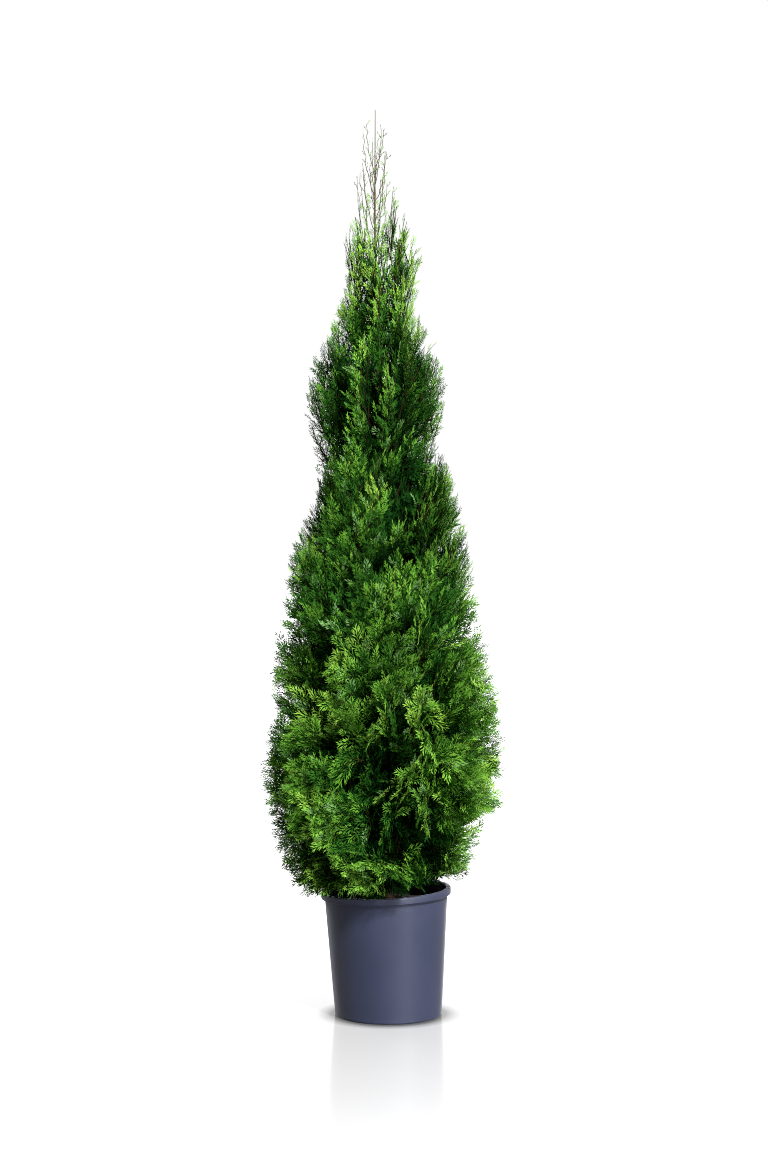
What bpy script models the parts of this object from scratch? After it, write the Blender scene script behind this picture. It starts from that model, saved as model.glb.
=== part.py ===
"""A columnar thuja in a plastic nursery pot, as separate solids.

The pot stands on its flat underside, whose centre is the origin. Metres, +Z up, and -Y is the front.
Soil fills the pot, the trunk stands on the soil, boughs leave the trunk in tiers, and each bough carries
one mass of foliage. A mass is a stem with twigs, toothed blades that stand for sprays, and a small core
where the foliage is dense. Every mass keeps to a space of its own: a sector of the crown between two
cones about the crown's axis.
"""

import math
import random
from collections import namedtuple

import bmesh
import bpy
from mathutils import Matrix, Vector

# ---- the pot and its soil
POT_HEIGHT = 0.282
POT_BASE_RADIUS = 0.120
POT_TOP_RADIUS = 0.1375
POT_WALL = 0.0025
POT_FLOOR = 0.004
FOOT_ROUNDING = 0.003
LIP_DEPTH = 0.015
LIP_WIDTH = 0.008
LIP_ROUNDING = 0.0025
POT_LEAN = -0.020  # sideways shift of the wall for each metre of height
RIM_TILT = 0.045  # rise of the rim for each metre towards +X
POT_SIDES = 44
SOIL_LEVEL = 0.256
SOIL_GAP = 0.0008
SOIL_EDGE_DROP = 0.006

# ---- the trunk
TREE_TIP = 2.022
FOOT_X, TIP_X = -0.010, -0.031
TRUNK_RADIUS = 0.0165
TIP_RADIUS = 0.0015
FLARE = 0.011
FLARE_HEIGHT = 0.022
TRUNK_BEND = 0.0025
TRUNK_SIDES = 10
TOUCH_GAP = 0.0003  # what pieces that meet keep between them

# ---- the crown: its radius at each height
OUTLINE = (
    (0.235, 0.180),
    (0.300, 0.204),
    (0.360, 0.236),
    (0.480, 0.264),
    (0.610, 0.267),
    (0.750, 0.246),
    (0.920, 0.214),
    (1.060, 0.196),
    (1.160, 0.172),
    (1.270, 0.150),
    (1.370, 0.158),
    (1.460, 0.144),
    (1.540, 0.108),
    (1.610, 0.088),
    (1.690, 0.094),
    (1.770, 0.074),
    (1.850, 0.042),
    (1.940, 0.026),
    (2.022, 0.012),
)
GROOVE = 0.17  # how far the outline draws in between two masses, as a share of its radius
SPACE_MARGIN = 0.003
POT_MARGIN = 0.007

# A tier's floor is a cone: floor_axis is its height at the crown's axis, and floor_rim at the outline.
Tier = namedtuple("Tier", "name count turn floor_axis floor_rim bough twigs spray core")
TIERS = (
    Tier("skirt", 5, -90, 0.285, 0.240, True, 11, 0.105, 0.74),
    Tier("base", 5, -54, 0.375, 0.440, True, 11, 0.105, 0.74),
    Tier("belly", 5, -90, 0.500, 0.640, True, 12, 0.105, 0.74),
    Tier("waist", 4, -68, 0.660, 0.860, True, 13, 0.105, 0.73),
    Tier("chest", 4, -115, 0.850, 1.075, True, 13, 0.100, 0.72),
    Tier("shoulder", 3, -80, 1.060, 1.265, True, 14, 0.095, 0.70),
    Tier("plume", 2, -30, 1.340, 1.515, False, 15, 0.075, 0.66),
    Tier("leader", 1, 8, 1.690, 1.790, False, 14, 0.045, 0.0),
)
TOP = 2.100
FLOOR_WAVE = 0.035

# Masses that reach further or less far than the outline, by tier and number.
REACHES = {
    ("skirt", 2): 0.92,
    ("skirt", 5): 0.98,
    ("plume", 1): 1.12,
    ("plume", 2): 0.94,
}

BOUGH_REACH = 0.34
BOUGH_RADII = (0.0070, 0.0048)
STEM_RADII = (0.0045, 0.0018)
END_RUN = 0.003
TWIG_RADII = (0.0026, 0.0013)
LEADER_STEM_RADII = (0.0022, 0.0012)
LEADER_TWIG_RADII = (0.0014, 0.0009)

# One half of a blade's toothed outline, from its tip to its root: shares of its length and half width.
HALF_BLADE = ((0.60, 0.34), (0.72, 1.00))
BLADE_POLE = 0.50  # where the blade is thickest, as a share of its length
BLADE_THICKNESS = 0.06
BLADE_WIDTH = 0.34
NARROW_BELOW = 0.050  # a blade shorter than this is a slim one
NARROW_WIDTH = 0.20
SPREAD = (0.7548776662, 0.5698402910)  # steps that spread twigs evenly across and up a mass's face
CORE_MARGIN = 0.008
CORE_LOWEST = POT_HEIGHT + 0.012  # so that no core hangs over the rim
CORE_PLACE = 0.56  # where a core's centre is along its stem

Mass = namedtuple("Mass", "tier level number azimuth half_angle reach")


def lerp(a, b, t):
    return a + (b - a) * t


def axis_point(z):
    """The crown's axis, which leans a little towards -X."""
    share = (z - SOIL_LEVEL) / (TREE_TIP - SOIL_LEVEL)
    return Vector((lerp(FOOT_X, TIP_X, share), 0.0, z))


def trunk_point(z):
    bend = TRUNK_BEND * math.sin(6.5 * z)
    return axis_point(z) + Vector((bend, bend * math.cos(4.0 * z), 0.0))


def trunk_radius(z):
    share = max(0.0, (z - SOIL_LEVEL) / (TREE_TIP - SOIL_LEVEL))
    flare = FLARE * math.exp(-(z - SOIL_LEVEL) / FLARE_HEIGHT)
    return lerp(TRUNK_RADIUS, TIP_RADIUS, share**0.85) + flare


def outline_radius(z):
    if z <= OUTLINE[0][0]:
        return OUTLINE[0][1]
    for (low, low_radius), (high, high_radius) in zip(OUTLINE, OUTLINE[1:]):
        if z <= high:
            return lerp(low_radius, high_radius, (z - low) / (high - low))
    return OUTLINE[-1][1]


def floor_of(level, rho, angle):
    """Height of a tier's floor at a distance rho from the axis. It rises and falls round the crown."""
    if level == len(TIERS):
        return TOP
    at_axis, at_rim = TIERS[level].floor_axis, TIERS[level].floor_rim
    share = rho / outline_radius(at_rim)
    wave = FLOOR_WAVE * math.sin(2.0 * angle + 2.1 * level) if level else 0.0
    return at_axis + (at_rim - at_axis + wave) * share


def masses():
    for level, tier in enumerate(TIERS):
        for number in range(1, tier.count + 1):
            azimuth = math.radians(tier.turn + 360.0 * (number - 1) / tier.count)
            reach = REACHES.get((tier.name, number), 1.0)
            yield Mass(tier, level, number, azimuth, math.pi / tier.count, reach)


def mass_radius(mass, side, z):
    """How far a mass reaches at a height. side runs from -1 to 1 across its sector."""
    return outline_radius(z) * mass.reach * (1.0 - GROOVE * abs(side) ** 3)


def space_point(mass, out, side, up):
    """A point of a mass's space: out is a share of its reach, up runs from its floor to its ceiling."""
    angle = mass.azimuth + side * mass.half_angle
    z = mass.tier.floor_axis
    for _ in range(24):
        rho = out * mass_radius(mass, side, z)
        ceiling = min(floor_of(mass.level + 1, rho, angle), TREE_TIP)
        z = lerp(z, lerp(floor_of(mass.level, rho, angle), ceiling, up), 0.4)
    return axis_point(z) + rho * Vector((math.cos(angle), math.sin(angle), 0.0))


def pot_shift(z):
    """How far the leaning wall stands off the origin's upright at a height."""
    return POT_LEAN * z


def clear_of_pot(point):
    rim = POT_TOP_RADIUS + LIP_WIDTH + POT_MARGIN
    top = POT_HEIGHT + RIM_TILT * point.x + POT_MARGIN
    return point.z > top or math.hypot(point.x - pot_shift(POT_HEIGHT), point.y) > rim


def in_space(mass, point, margin=SPACE_MARGIN):
    """Whether a point keeps to a mass's space, clear of the trunk and the pot."""
    off = point - axis_point(point.z)
    rho = math.hypot(off.x, off.y)
    angle = math.atan2(off.y, off.x)
    turn = abs(math.remainder(angle - mass.azimuth, 2.0 * math.pi))
    if turn >= mass.half_angle or rho * math.sin(min(mass.half_angle - turn, math.pi / 2)) < margin:
        return False
    floor, ceiling = floor_of(mass.level, rho, angle), floor_of(mass.level + 1, rho, angle)
    if not floor + margin <= point.z <= ceiling - margin:
        return False
    if rho > mass_radius(mass, turn / mass.half_angle, point.z) * 1.02 or point.z > TREE_TIP:
        return False
    return rho > trunk_radius(point.z) + margin and clear_of_pot(point)


def bezier(start, middle, end, t):
    return start.lerp(middle, t).lerp(middle.lerp(end, t), t)


def limb_points(path, steps):
    """Points along a limb. A short run at each end keeps to the path's direction, which squares the end."""
    start, middle, end = path
    first, last = (middle - start).normalized(), (end - middle).normalized()
    inner = [bezier(*path, k / steps) for k in range(1, steps)]
    return [start, start + END_RUN * first, *inner, end - END_RUN * last, end]


def limb_radii(radii, steps):
    first, last = radii
    inner = [lerp(first, last, k / steps) for k in range(1, steps)]
    return [first, first, *inner, last, last]


def bough_path(mass):
    """The three control points of a mass's bough, from the trunk's middle to its tip."""
    root = space_point(mass, 0.0, 0.0, 0.06)
    return root, space_point(mass, 0.18, 0.0, 0.10), space_point(mass, BOUGH_REACH, 0.0, 0.24)


def stem_path(mass):
    """The three control points of a mass's stem. It goes on from its bough, or leaves the trunk."""
    if mass.tier.bough:
        root, middle, tip = bough_path(mass)
        start = tip + (tip - middle).normalized() * TOUCH_GAP
        return start, start + (tip - middle) * 1.2, space_point(mass, 0.80, 0.0, 0.78)
    start = trunk_point(space_point(mass, 0.0, 0.0, 0.08).z)
    return start, space_point(mass, 0.60, 0.0, 0.16), space_point(mass, 0.74, 0.0, 0.90)


# ---- Blender helpers
def new_collection(name):
    made = bpy.data.collections.new(name)
    bpy.context.scene.collection.children.link(made)
    return made


def new_object(name, mesh, collection):
    obj = bpy.data.objects.new(name, mesh)
    collection.objects.link(obj)
    return obj


def material(name, colour, roughness):
    made = bpy.data.materials.new(name)
    made.use_nodes = True
    shader = made.node_tree.nodes["Principled BSDF"]
    shader.inputs["Base Color"].default_value = (*colour, 1.0)
    shader.inputs["Roughness"].default_value = roughness
    shader.inputs["Metallic"].default_value = 0.0
    made.diffuse_color = (*colour, 1.0)
    return made


def mesh_of(name, bm):
    mesh = bpy.data.meshes.new(name)
    bm.to_mesh(mesh)
    bm.free()
    return mesh


def evaluated_mesh(obj):
    """The object's mesh as the viewport shows it, with a curve's loose caps welded."""
    bpy.context.view_layer.update()
    graph = bpy.context.evaluated_depsgraph_get()
    mesh = bpy.data.meshes.new_from_object(obj.evaluated_get(graph))
    bm = bmesh.new()
    bm.from_mesh(mesh)
    bmesh.ops.remove_doubles(bm, verts=bm.verts, dist=0.000001)
    bmesh.ops.recalc_face_normals(bm, faces=bm.faces)
    bm.to_mesh(mesh)
    bm.free()
    return mesh


def turned(name, profile, collection):
    """A solid turned about Z from (radius, height) points that run down its outer side, as a mesh."""
    bm = bmesh.new()
    points = [bm.verts.new((radius, 0.0, height)) for radius, height in profile]
    for a, b in zip(points, points[1:]):
        bm.edges.new((a, b))
    obj = new_object(name, mesh_of(name, bm), collection)
    screw = obj.modifiers.new("Screw", "SCREW")
    screw.steps = screw.render_steps = POT_SIDES
    screw.use_merge_vertices = True
    screw.merge_threshold = 0.00001
    mesh = evaluated_mesh(obj)
    obj.modifiers.clear()
    obj.data = mesh
    return obj


def tube(name, points, radii, sides, collection):
    """A tapering tube of 4, 6, 8, ... sides through points, with flat ends, as a mesh."""
    curve = bpy.data.curves.new(name, "CURVE")
    curve.dimensions = "3D"
    curve.bevel_depth = 1.0
    curve.bevel_resolution = sides // 2 - 2
    curve.use_fill_caps = True
    spline = curve.splines.new("POLY")
    spline.points.add(len(points) - 1)
    for knot, point, radius in zip(spline.points, points, radii):
        knot.co = (*point, 1.0)
        knot.radius = radius
    guide = new_object(name + "_guide", curve, collection)
    mesh = evaluated_mesh(guide)
    bpy.data.objects.remove(guide)
    return new_object(name, mesh, collection)


def boolean(obj, operation, operand):
    """Applies a Boolean with an object or a collection."""
    modifier = obj.modifiers.new(operation, "BOOLEAN")
    modifier.operation = operation
    modifier.solver = "EXACT"
    if isinstance(operand, bpy.types.Collection):
        modifier.operand_type = "COLLECTION"
        modifier.collection = operand
    else:
        modifier.object = operand
    mesh = evaluated_mesh(obj)
    obj.modifiers.clear()
    obj.data = mesh


def keep_largest_body(obj):
    """Drops the loose scraps and the sealed hollows that fusing can leave."""
    bm = bmesh.new()
    bm.from_mesh(obj.data)
    left, bodies = set(bm.faces), []
    while left:
        todo, body = [left.pop()], []
        while todo:
            face = todo.pop()
            body.append(face)
            near = {other for edge in face.edges for other in edge.link_faces} & left
            left -= near
            todo += near
        bodies.append(body)
    bodies.sort(key=len)
    spare = [vert for body in bodies[:-1] for face in body for vert in face.verts]
    bmesh.ops.delete(bm, geom=list(set(spare)), context="VERTS")
    bm.to_mesh(obj.data)
    bm.free()


def placed(along, normal, origin):
    """A matrix whose X runs along, and whose Z is as near to normal as it can be."""
    x = along.normalized()
    y = normal.cross(x).normalized()
    return Matrix.Translation(origin) @ Matrix((x, y, x.cross(y))).transposed().to_4x4()


def twig_mesh(start, end, radii):
    """A three-sided tapering twig."""
    along = end - start
    turn = along.to_track_quat("Z", "Y").to_matrix().to_4x4()
    bm = bmesh.new()
    bmesh.ops.create_cone(
        bm,
        cap_ends=True,
        segments=3,
        radius1=radii[0],
        radius2=radii[1],
        depth=along.length,
        matrix=Matrix.Translation(start.lerp(end, 0.5)) @ turn,
    )
    return mesh_of("twig", bm)


def blade_points(root, tip, normal):
    """The toothed outline of a blade, from its tip round to its root and back."""
    length = (tip - root).length
    half_width = BLADE_WIDTH if length > NARROW_BELOW else NARROW_WIDTH
    place = placed(tip - root, normal, root)
    left = [(along, across * half_width) for along, across in HALF_BLADE]
    right = [(along, -across) for along, across in reversed(left)]
    flat = [(1.0, 0.0), *left, (0.0, 0.0), *right]
    return [place @ Vector((length * x, length * y, 0.0)) for x, y in flat]


def blade_mesh(root, tip, normal):
    """A thin toothed blade: a ball of two segments, with its ring moved to the outline."""
    outline = blade_points(root, tip, normal)
    length = (tip - root).length
    place = placed(tip - root, normal, root)
    bm = bmesh.new()
    bmesh.ops.create_uvsphere(bm, u_segments=len(outline), v_segments=2, radius=1.0)
    ring = [vert for vert in bm.verts if abs(vert.co.z) < 0.5]
    ring.sort(key=lambda vert: math.atan2(vert.co.y, vert.co.x) % (2.0 * math.pi - 0.0001))
    for vert in set(bm.verts) - set(ring):
        height = math.copysign(0.5 * BLADE_THICKNESS * length, vert.co.z)
        vert.co = place @ Vector((BLADE_POLE * length, 0.0, height))
    for vert, point in zip(ring, outline):
        vert.co = point
    return mesh_of("blade", bm)


# ---- the sub-parts
def pot_profile():
    """(radius, height) down the outer side from the rim's top, across the floor and up inside."""
    lip_radius = POT_TOP_RADIUS + LIP_WIDTH
    inside_top = POT_TOP_RADIUS - POT_WALL
    rounding = LIP_ROUNDING
    return (
        (0.0, POT_FLOOR),
        (POT_BASE_RADIUS - 2.0 * POT_WALL, POT_FLOOR),
        (inside_top, POT_HEIGHT - rounding),
        (inside_top + rounding, POT_HEIGHT),
        (lip_radius - rounding, POT_HEIGHT),
        (lip_radius, POT_HEIGHT - rounding),
        (lip_radius, POT_HEIGHT - LIP_DEPTH + 0.5 * rounding),
        (lip_radius - 0.5 * rounding, POT_HEIGHT - LIP_DEPTH),
        (POT_TOP_RADIUS, POT_HEIGHT - LIP_DEPTH),
        (POT_BASE_RADIUS, FOOT_ROUNDING),
        (POT_BASE_RADIUS - FOOT_ROUNDING, 0.0),
        (0.0, 0.0),
    )


def make_pot(collection, finish):
    pot = turned("pot", pot_profile(), collection)
    for vert in pot.data.vertices:
        share = vert.co.z / POT_HEIGHT
        vert.co = vert.co + Vector((pot_shift(vert.co.z), 0.0, RIM_TILT * vert.co.x * share**2))
    pot.data.materials.append(finish)
    pot.data.shade_smooth()
    pot.data.set_sharp_from_angle(angle=math.radians(40.0))


def inside_radius(z):
    low, high = POT_BASE_RADIUS - 2.0 * POT_WALL, POT_TOP_RADIUS - POT_WALL
    return lerp(low, high, (z - POT_FLOOR) / (POT_HEIGHT - LIP_ROUNDING - POT_FLOOR)) - SOIL_GAP


def make_soil(collection, finish):
    edge, bottom = SOIL_LEVEL - SOIL_EDGE_DROP, POT_FLOOR + TOUCH_GAP
    profile = (
        (0.0, SOIL_LEVEL),
        (0.55 * inside_radius(edge), SOIL_LEVEL),
        (inside_radius(edge), edge),
        (inside_radius(bottom), bottom),
        (0.0, bottom),
    )
    soil = turned("soil", profile, collection)
    for vert in soil.data.vertices:
        vert.co.x += pot_shift(vert.co.z)
    soil.data.materials.append(finish)


def trunk_stations():
    """Heights of the trunk's rings, close together at the root flare."""
    start = SOIL_LEVEL + TOUCH_GAP
    flare = [start, start + 0.012, start + 0.028, start + 0.055]
    count = 16
    return flare + [lerp(flare[-1], TREE_TIP, k / count) for k in range(1, count + 1)]


def make_trunk(collection, cutters, finish):
    """The trunk, and a cutter that is one gap wider all round."""
    stations = trunk_stations()
    points = [trunk_point(z) for z in stations]
    points[0].xy = points[1].xy
    radii = [trunk_radius(z) for z in stations]
    trunk = tube("trunk", points, radii, TRUNK_SIDES, collection)
    trunk.data.materials.append(finish)
    trunk.data.shade_smooth()
    wide = [radius / math.cos(math.pi / TRUNK_SIDES) + TOUCH_GAP for radius in radii]
    cutter = tube("trunk_cutter", points, wide, TRUNK_SIDES, cutters)
    cutter.hide_render = True
    cutter.display_type = "WIRE"
    return cutter


def make_bough(mass, cutter, collection, finish):
    slim = lerp(1.0, 0.7, mass.level / len(TIERS))
    radii = [slim * radius for radius in BOUGH_RADII]
    name = f"bough_{mass.tier.name}_{mass.number}"
    bough = tube(name, limb_points(bough_path(mass), 2), limb_radii(radii, 2), 6, collection)
    boolean(bough, "DIFFERENCE", cutter)
    keep_largest_body(bough)
    bough.data.materials.append(finish)


def past_bough(mass, path, point):
    """Whether a point lies beyond the end of the mass's bough, where the mass begins."""
    start, middle, _ = path
    return not mass.tier.bough or (point - start).dot((middle - start).normalized()) > 0.004


def off_bough(mass, point):
    """Whether a point is clear of the mass's bough on every side."""
    if not mass.tier.bough:
        return True
    path = bough_path(mass)
    return min((point - bezier(*path, k / 8)).length for k in range(9)) > BOUGH_RADII[0] + 0.006


def core_reach(mass, path, direction):
    """How far a mass's core reaches from its centre, short of the walls of its space and of its outline."""
    centre = bezier(*path, CORE_PLACE)
    step = 0.004
    reach = step
    while reach < 0.3:
        point = centre + reach * direction
        off = point - axis_point(point.z)
        if math.hypot(off.x, off.y) > mass.tier.core * outline_radius(point.z) * mass.reach:
            break
        if point.z < CORE_LOWEST or not in_space(mass, point, CORE_MARGIN):
            break
        if not past_bough(mass, path, point):
            break
        reach += step
    return max(0.008, reach - step)


def in_core(mass, path, point):
    off = point - bezier(*path, CORE_PLACE)
    return bool(mass.tier.core) and off.length < 0.8 * core_reach(mass, path, off.normalized())


def core_mesh(mass, path):
    """A rounded core about the stem."""
    along = bezier(*path, CORE_PLACE + 0.1) - bezier(*path, CORE_PLACE - 0.1)
    turn = along.to_track_quat("Z", "X").to_matrix().to_4x4()
    bm = bmesh.new()
    bmesh.ops.create_uvsphere(bm, u_segments=7, v_segments=4, radius=1.0, matrix=turn)
    for vert in bm.verts:
        direction = vert.co.normalized()
        vert.co = bezier(*path, CORE_PLACE) + direction * core_reach(mass, path, direction)
    return mesh_of("core", bm)


def blade_fits(mass, root, tip, normal):
    """Whether a blade keeps to its mass's space, by points along its rib and its outline."""
    outline = blade_points(root, tip, normal)
    spots = [root.lerp(tip, k / 10) for k in range(11)]
    for a, b in zip(outline, outline[1:] + outline[:1]):
        spots += [a, a.lerp(b, 0.33), a.lerp(b, 0.67)]
    return all(in_space(mass, spot) and off_bough(mass, spot) for spot in spots)


def blade_root(mass, path, tip, along):
    """Where a blade that ends at tip begins: in the core if it can reach it, or else at a twig's end."""
    length = mass.tier.spray
    for stretch in (1.0, 1.25, 1.5):
        root = tip - along * length * stretch
        if in_core(mass, path, root):
            return root, False
    return tip - along * length, True


def tries(mass, across, up, turn):
    """(tip, turn about its rib) to try a blade at: on the outline, or a little further in each time."""
    for pull in (0.0, 0.08, 0.16, 0.24, 0.32):
        side = 1.84 * (across - 0.5) * (1.0 - pull)
        tip = space_point(mass, 1.0 - 0.4 * pull, side, lerp(up, 0.5, pull))
        yield tip, turn
        yield tip, math.copysign(math.pi / 2, turn)


def grow_twigs(mass, path, rng):
    """(start, end) of each twig and (root, tip, normal) of each blade of a mass."""
    twigs, blades = [], []
    phase = rng.random()
    for k in range(mass.tier.twigs):
        across = (phase + k * SPREAD[0]) % 1.0
        up = 0.03 + 0.96 * ((phase * 0.37 + k * SPREAD[1]) % 1.0)
        fork = bezier(*path, min(0.92, max(0.10, up - 0.30 + rng.uniform(-0.15, 0.15))))
        for tip, turn in tries(mass, across, up, rng.uniform(-1.3, 1.3)):
            along = (tip - fork).normalized()
            root, on_twig = blade_root(mass, path, tip, along)
            normal = Matrix.Rotation(turn, 3, along) @ along.cross(Vector((0.0, 0.0, 1.0)))
            if blade_fits(mass, root, tip, normal):
                blades.append((root, tip, normal))
                if on_twig:
                    twigs.append((fork, root.lerp(tip, 0.2)))
                break
    return twigs, blades


def make_mass(mass, cutter, collection, finish):
    rng = random.Random(f"{mass.tier.name} {mass.number}")
    path = stem_path(mass)
    bare = not mass.tier.core
    stem_radii = LEADER_STEM_RADII if bare else STEM_RADII
    twig_radii = LEADER_TWIG_RADII if bare else TWIG_RADII
    name = f"foliage_{mass.tier.name}_{mass.number}"
    stem = tube(name, limb_points(path, 3), limb_radii(stem_radii, 3), 4, collection)
    pieces = new_collection("pieces")
    if not bare:
        new_object("core", core_mesh(mass, path), pieces)
    twigs, blades = grow_twigs(mass, path, rng)
    for start, end in twigs:
        new_object("twig", twig_mesh(start, end, twig_radii), pieces)
    for root, tip, normal in blades:
        new_object("blade", blade_mesh(root, tip, normal), pieces)
    boolean(stem, "UNION", pieces)
    for piece in list(pieces.objects):
        bpy.data.objects.remove(piece)
    bpy.data.collections.remove(pieces)
    if not mass.tier.bough:
        boolean(stem, "DIFFERENCE", cutter)
    keep_largest_body(stem)
    stem.data.materials.append(finish)


def main():
    for obj in list(bpy.data.objects):
        bpy.data.objects.remove(obj)
    thuja = new_collection("potted_thuja")
    cutters = new_collection("cutters")
    plastic = material("slate_plastic", (0.075, 0.083, 0.135), 0.5)
    earth = material("soil", (0.035, 0.024, 0.016), 0.95)
    bark = material("bark", (0.115, 0.062, 0.036), 0.9)
    leaves = material("thuja_green", (0.040, 0.125, 0.018), 0.6)
    make_pot(thuja, plastic)
    make_soil(thuja, earth)
    cutter = make_trunk(thuja, cutters, bark)
    for mass in masses():
        if mass.tier.bough:
            make_bough(mass, cutter, thuja, bark)
        make_mass(mass, cutter, thuja, leaves)


main()
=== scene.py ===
"""A columnar thuja in a plastic nursery pot, dressed for a studio view.

The foliage solids are replaced by twigs and sprays that grow on from the same boughs and stems, inside nearly
the same spaces. A branch leaves a mass's stem and ends near the crown's outline. It has sprays of scale
leaves towards its end, and fronds to its left and right: twigs with sprays of their own. A spray is one of a
few seeded patterns of short folded branchlets, turned and bent to its place. The leader has long, nearly bare
whips in place of branches. Numbers inside the calls of rng are spreads and chances.
"""

import math
from collections import namedtuple

import bpy
import numpy as np
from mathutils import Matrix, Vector, noise


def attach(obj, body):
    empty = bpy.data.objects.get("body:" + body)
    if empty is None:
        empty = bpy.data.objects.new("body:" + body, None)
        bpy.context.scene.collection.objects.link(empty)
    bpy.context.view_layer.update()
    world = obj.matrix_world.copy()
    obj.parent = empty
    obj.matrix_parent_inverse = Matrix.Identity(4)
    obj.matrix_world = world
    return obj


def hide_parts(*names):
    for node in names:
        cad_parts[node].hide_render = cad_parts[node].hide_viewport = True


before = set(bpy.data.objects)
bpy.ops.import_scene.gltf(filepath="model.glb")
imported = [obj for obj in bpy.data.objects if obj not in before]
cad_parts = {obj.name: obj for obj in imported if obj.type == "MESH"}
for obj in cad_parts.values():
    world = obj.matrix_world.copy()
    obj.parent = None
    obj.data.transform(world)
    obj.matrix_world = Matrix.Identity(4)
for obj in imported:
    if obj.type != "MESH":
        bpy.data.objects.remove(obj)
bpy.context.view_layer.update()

# ---- the pot and its soil
POT_HEIGHT = 0.282
POT_BASE_RADIUS = 0.120
POT_TOP_RADIUS = 0.1375
POT_WALL = 0.0025
POT_FLOOR = 0.004
LIP_DEPTH = 0.015
LIP_WIDTH = 0.008
POT_LEAN = -0.020
RIM_TILT = 0.045
SOIL_LEVEL = 0.256

# ---- the trunk and the crown, as in the solids but for the dents
TREE_TIP = 2.022
FOOT_X, TIP_X = -0.010, -0.031
TRUNK_RADIUS = 0.0165
TIP_RADIUS = 0.0015
TRUNK_TAPER = 0.85
FLARE = 0.011
FLARE_HEIGHT = 0.022
TRUNK_BEND = 0.0025
TRUNK_WAVE, TRUNK_TWIST = 6.5, 4.0  # radians a metre
TOUCH_GAP = 0.0003
CLEARANCE = 0.001

# The crown's outline: a height and a radius at each turn of it.
OUTLINE = np.array(
    (
        (0.235, 0.180), (0.300, 0.204), (0.360, 0.236), (0.480, 0.264), (0.610, 0.267), (0.750, 0.246),
        (0.920, 0.214), (1.060, 0.196), (1.160, 0.172), (1.270, 0.150), (1.370, 0.158), (1.460, 0.144),
        (1.540, 0.108), (1.610, 0.088), (1.690, 0.094), (1.770, 0.074), (1.850, 0.042), (1.940, 0.026),
        (2.022, 0.012),
    )
)
# Where the crown dips in between two lobes of foliage: on which side (left -1, right 1), at what height, over
# what length up and down, and how deep, as a share of the outline.
Dent = namedtuple("Dent", "side height length depth")
DENTS = (
    Dent(1, 0.36, 0.05, 0.08),
    Dent(-1, 0.67, 0.07, 0.08),
    Dent(-1, 1.18, 0.10, 0.17),
    Dent(1, 1.29, 0.06, 0.09),
    Dent(1, 1.57, 0.05, 0.18),
    Dent(-1, 1.65, 0.06, 0.18),
)
GROOVE = 0.17  # how much less far a mass reaches at its two sides
FLOOR_WAVE = 0.035  # how far a tier's floor rises and falls round its rim
FLOOR_TURN = 2.1  # how far that wave is turned from tier to tier, in radians
TOP = 2.100
SETTLING_STEPS, SETTLING = 24, 0.4  # for finding a point's height

# count: how many masses a tier has; turn: the first one's azimuth; floor_axis and floor_rim: its floor's
# heights; bough: whether it grows on boughs; branches: how many a mass has; frond and spray: their lengths;
# out, rise and aside: which way a branch's tip points; open: how far its fronds spread from it; steep: the
# same for their sprays; facing: how far their flat sides are turned outwards; youth: how young the green is.
# Angles are in degrees. The leader has no branches.
Tier = namedtuple(
    "Tier",
    "name count turn floor_axis floor_rim bough branches frond spray out rise aside open steep facing youth",
    defaults=(0,) * 10,
)
TIERS = (
    Tier("skirt", 5, -90, 0.285, 0.240, True, 15, 0.085, 0.058, 0.80, -0.25, 0.60, 42, 44, 68, 0.38),
    Tier("base", 5, -54, 0.375, 0.440, True, 15, 0.090, 0.060, 0.80, -0.05, 0.55, 42, 44, 66, 0.42),
    Tier("belly", 5, -90, 0.500, 0.640, True, 16, 0.100, 0.060, 0.66, 0.40, 0.42, 36, 42, 60, 0.35),
    Tier("waist", 4, -68, 0.660, 0.860, True, 16, 0.115, 0.054, 0.48, 0.86, 0.26, 27, 36, 54, 0.22),
    Tier("chest", 4, -115, 0.850, 1.075, True, 15, 0.120, 0.048, 0.40, 0.96, 0.18, 22, 31, 50, 0.15),
    Tier("shoulder", 3, -80, 1.060, 1.265, True, 17, 0.115, 0.042, 0.34, 0.98, 0.14, 19, 29, 46, 0.10),
    Tier("plume", 2, -30, 1.340, 1.515, False, 17, 0.095, 0.038, 0.24, 1.00, 0.12, 17, 28, 42, 0.68),
    Tier("leader", 1, 8, 1.690, 1.790, False),
)
# How far the masses reach that don't end at the outline, as a share of it.
REACHES = {("skirt", 2): 0.92, ("skirt", 5): 0.98, ("plume", 1): 1.12, ("plume", 2): 0.94}
UP = np.array((0.0, 0.0, 1.0))

Mass = namedtuple("Mass", "tier level number azimuth half_angle reach")

# Where boughs and stems run: how far out in a mass's space, how far to its side and how far up.
BOUGH_SPOTS = ((0.0, 0.0, 0.06), (0.18, 0.0, 0.10), (0.34, 0.0, 0.24))
BOUGH_STEM_TIP = (0.80, 0.0, 0.78)
BOUGH_STEM_LEAD = 1.2  # how far a stem follows on from its bough
TRUNK_STEM_SPOTS = ((0.0, 0.0, 0.08), (0.60, 0.0, 0.16), (0.74, 0.0, 0.90))
BOUGH_RADII = (0.0070, 0.0048)
STEM_RADII = (0.0045, 0.0018)


def lerp(a, b, t):
    return a + (b - a) * t


def axis_point(z):
    share = (z - SOIL_LEVEL) / (TREE_TIP - SOIL_LEVEL)
    return np.array((lerp(FOOT_X, TIP_X, share), 0.0, z))


def off_axis(p):
    """How far a point is from the crown's axis, in X and Y."""
    centre = axis_point(p[2])
    return p[0] - centre[0], p[1] - centre[1]


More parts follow.
